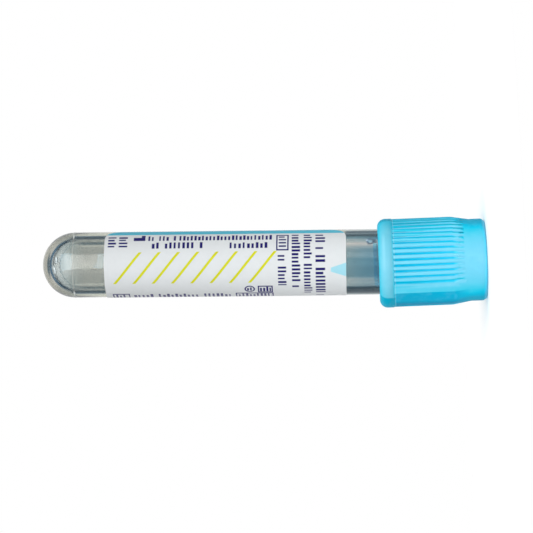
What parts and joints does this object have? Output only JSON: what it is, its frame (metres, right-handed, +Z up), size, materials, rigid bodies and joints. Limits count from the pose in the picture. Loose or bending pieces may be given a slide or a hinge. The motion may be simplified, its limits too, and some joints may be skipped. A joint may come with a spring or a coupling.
{
  "type": "blood collection tube",
  "caption": "Round-bottom clear plastic tube with an inner liner, a wrapped label, a rubber stopper and a ribbed light blue shield that twists and pulls off.",
  "frame": {"origin": "on the ground at the middle of the shield's flat top, on which the tube stands upside down", "axes": "+Z up from the shield to the round bottom, -Y to the label's front; the tube's axis leans a little to +X"},
  "size_m": [0.0176, 0.0176, 0.0881],
  "materials": {
    "clear_plastic": "clear and glossy",
    "liner_plastic": "slightly cloudy, glossy",
    "liquid": "clear liquid",
    "label_film": "satin white film with plain coloured print",
    "stopper_rubber": "matte moulded rubber",
    "shield_plastic": "glossy moulded plastic"
  },
  "bodies": {
    "tube": {"outer_tube": "clear_plastic", "liner_tube": "liner_plastic", "additive": "liquid", "label": "label_film"},
    "stopper": {"stopper": "stopper_rubber"},
    "shield": {"shield": "shield_plastic"}
  },
  "joints": [
    {"name": "closure_pull", "type": "slide", "parent": "tube", "child": "stopper", "axis": [-0.0297, 0, -0.9996], "range_m": [0, 0.03]},
    {"name": "shield_twist", "type": "hinge", "parent": "stopper", "child": "shield", "pos_m": [0, 0, 0.00888], "axis": [0, 0, -1], "continuous": true}
  ]
}
